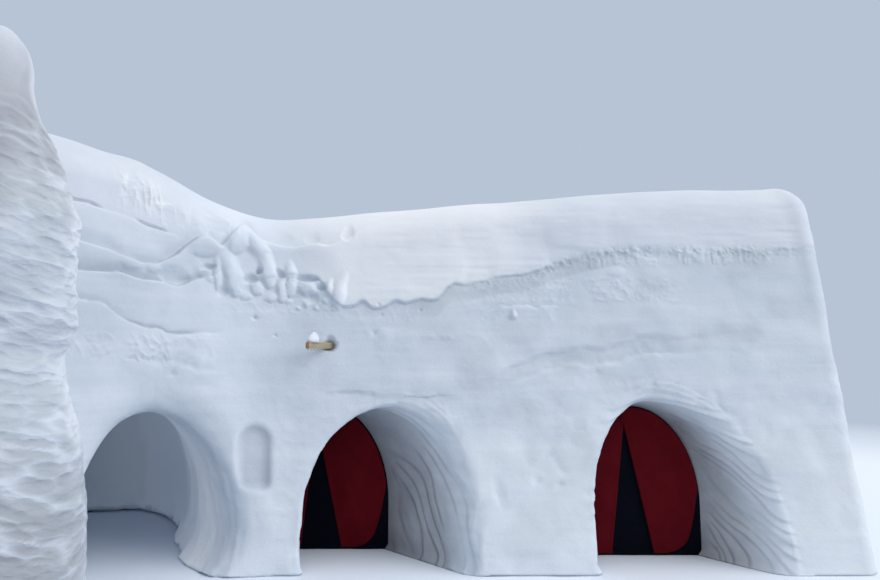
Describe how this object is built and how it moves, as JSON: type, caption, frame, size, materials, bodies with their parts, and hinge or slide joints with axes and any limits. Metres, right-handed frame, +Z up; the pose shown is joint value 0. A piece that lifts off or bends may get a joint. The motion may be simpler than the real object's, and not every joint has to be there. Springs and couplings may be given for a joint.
{
  "type": "snow igloo block with three domed rooms",
  "caption": "Bent mass of compacted snow with three arched tunnels into domed rooms, two of them closed by fabric doors.",
  "frame": {"origin": "in the base, under the pillar of snow left of the east doorway", "axes": "+Z up; +X along the straight front to the right as seen from the court; +Y into the snow, away from the court"},
  "size_m": [11.8258, 7.6747, 4.1691],
  "materials": {
    "packed_snow": "matte",
    "fresh_snow": "matte",
    "red_cloth": "matte",
    "black_cloth": "matte",
    "timber": "satin"
  },
  "bodies": {
    "root": {"east_jamb_left": "packed_snow", "east_jamb_right": "packed_snow", "east_room_wall_left": "packed_snow", "east_room_wall_right": "packed_snow", "east_arch": "packed_snow", "east_dome_left": "packed_snow", "east_dome_right": "packed_snow", "east_middle_lift": "packed_snow", "east_snow_cap": "fresh_snow", "east_end_wall": "packed_snow", "middle_jamb_left": "packed_snow", "middle_jamb_right": "packed_snow", "middle_room_wall_left": "packed_snow", "middle_room_wall_right": "packed_snow", "middle_arch": "packed_snow", "middle_dome_front_left": "packed_snow", "middle_dome_front_right": "packed_snow", "middle_dome_back_left": "packed_snow", "middle_dome_back_right": "packed_snow", "middle_middle_lift": "packed_snow", "middle_snow_cap": "fresh_snow", "wing_jamb_left": "packed_snow", "wing_jamb_right": "packed_snow", "wing_room_wall_left": "packed_snow", "wing_room_wall_right": "packed_snow", "wing_arch": "packed_snow", "wing_dome_left": "packed_snow", "wing_dome_right": "packed_snow", "wing_middle_lift": "packed_snow", "wing_snow_cap": "fresh_snow", "wing_end_wall": "packed_snow", "pier_base": "packed_snow", "pier_middle": "packed_snow", "pier_cap": "fresh_snow", "east_door_backing": "black_cloth", "east_door_left_flap": "red_cloth", "east_door_right_flap": "red_cloth", "middle_door_backing": "black_cloth", "middle_door_left_flap": "red_cloth", "middle_door_right_flap": "red_cloth", "batten_stub": "timber", "batten_snow": "fresh_snow"}
  },
  "joints": []
}
